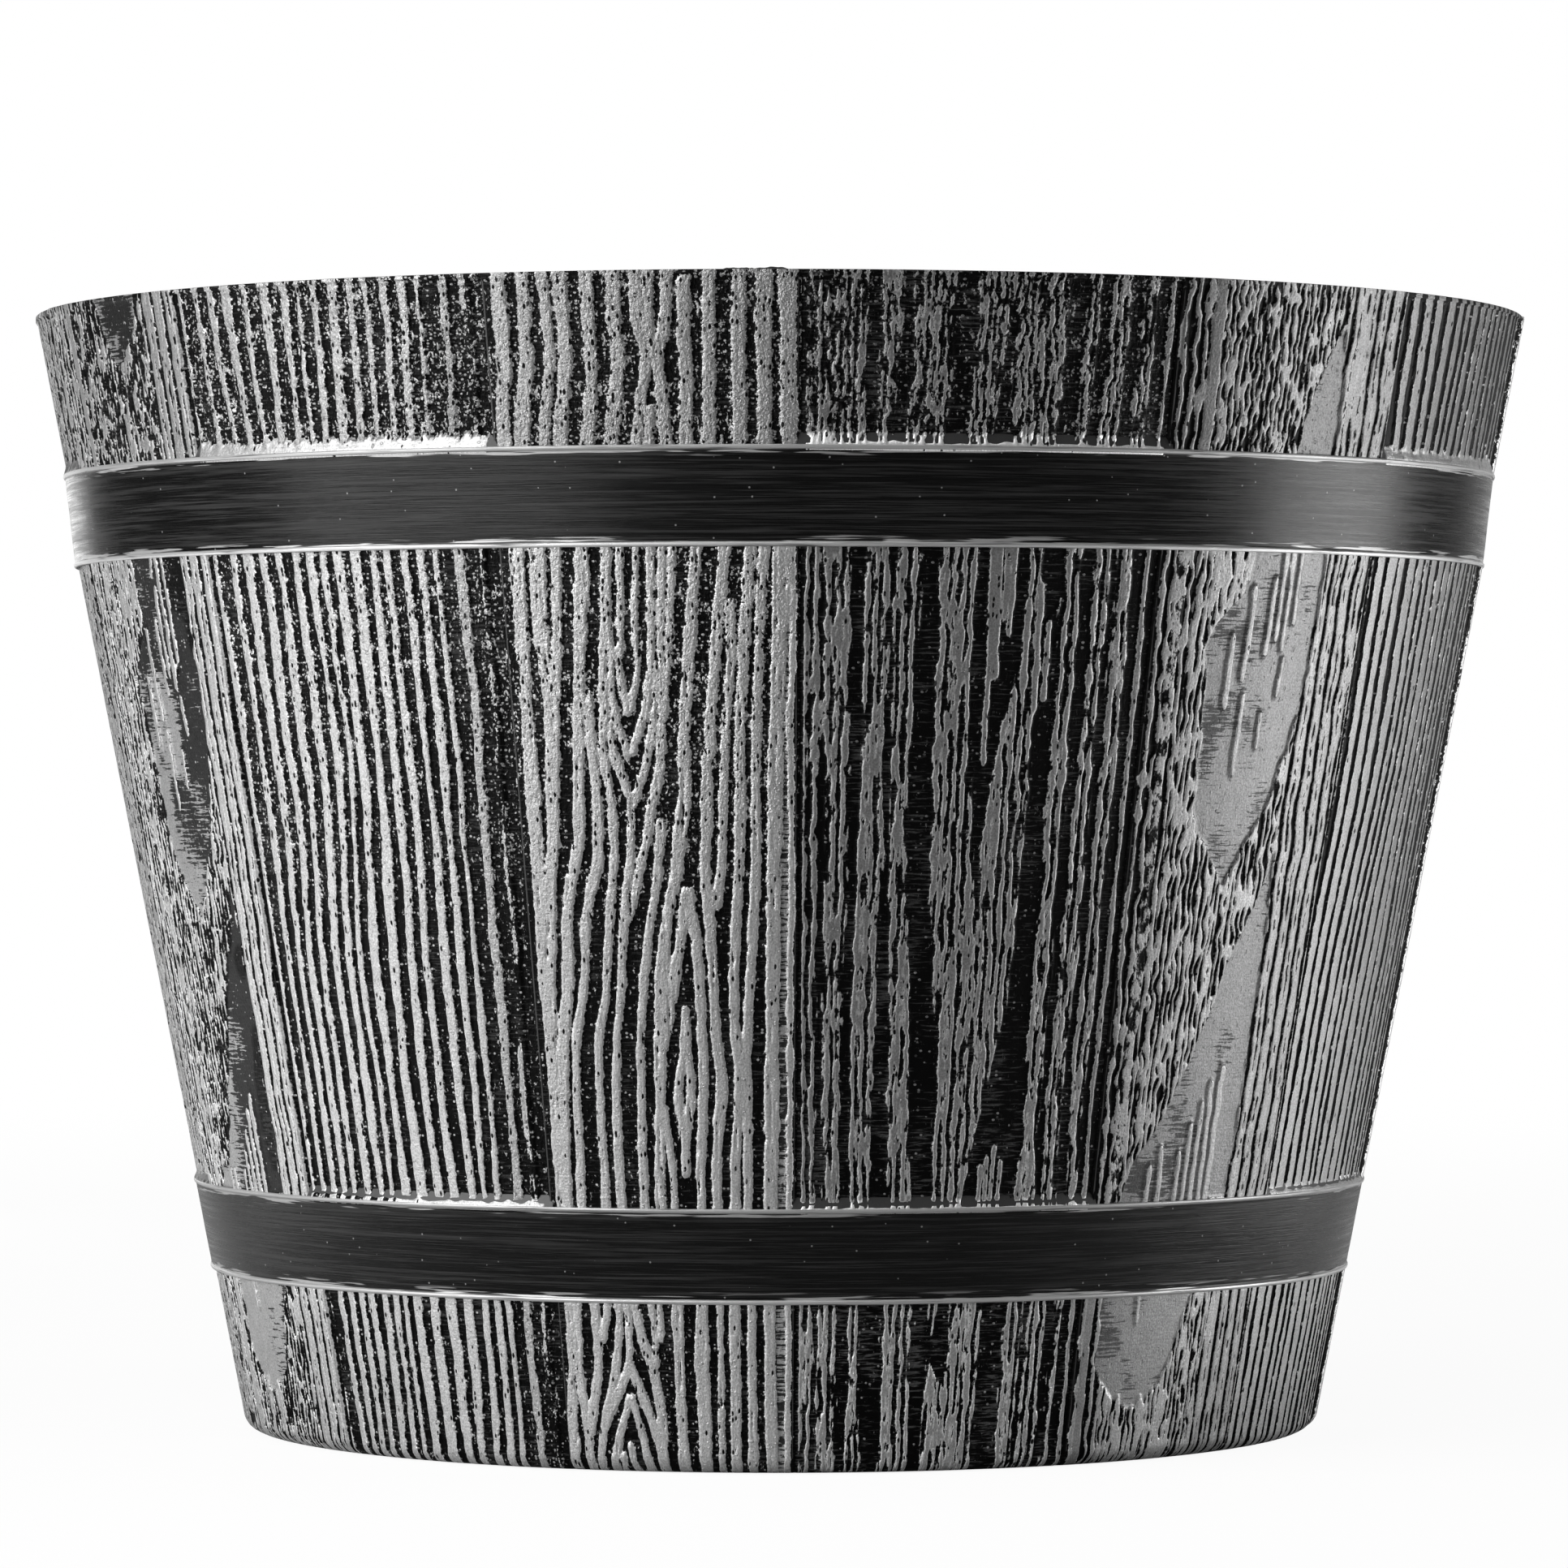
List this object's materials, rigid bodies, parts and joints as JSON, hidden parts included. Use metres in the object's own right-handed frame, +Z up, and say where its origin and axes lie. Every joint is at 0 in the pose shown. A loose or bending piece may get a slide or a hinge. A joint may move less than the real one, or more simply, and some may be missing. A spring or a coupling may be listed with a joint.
{
  "type": "barrel planter",
  "caption": "Round tapered resin planter shaped like a half barrel, with moulded staves and hoops, and pull-out drain plugs in its floor.",
  "frame": {"origin": "centre of the foot ring, on the ground", "axes": "+Z up along the axis of the tub, -Y towards the front seen in the picture, +X to the right of that view"},
  "size_m": [0.3048, 0.3048, 0.2265],
  "materials": {
    "tub": "black moulded resin, silver paint dry-brushed over the raised wood grain, satin black hoops",
    "plug": "soft matt black rubber"
  },
  "bodies": {
    "tub": {"tub": "tub"},
    "plug_centre": {"drain_plug_centre": "plug"},
    "plug_front": {"drain_plug_front": "plug"},
    "plug_right": {"drain_plug_right": "plug"},
    "plug_back": {"drain_plug_back": "plug"},
    "plug_left": {"drain_plug_left": "plug"}
  },
  "joints": [
    {"name": "plug_centre_lift", "type": "slide", "parent": "tub", "child": "plug_centre", "axis": [0, 0, 1], "range_m": [0, 0.24]},
    {"name": "plug_front_lift", "type": "slide", "parent": "tub", "child": "plug_front", "axis": [0, 0, 1], "range_m": [0, 0.24]},
    {"name": "plug_right_lift", "type": "slide", "parent": "tub", "child": "plug_right", "axis": [0, 0, 1], "range_m": [0, 0.24]},
    {"name": "plug_back_lift", "type": "slide", "parent": "tub", "child": "plug_back", "axis": [0, 0, 1], "range_m": [0, 0.24]},
    {"name": "plug_left_lift", "type": "slide", "parent": "tub", "child": "plug_left", "axis": [0, 0, 1], "range_m": [0, 0.24]}
  ]
}
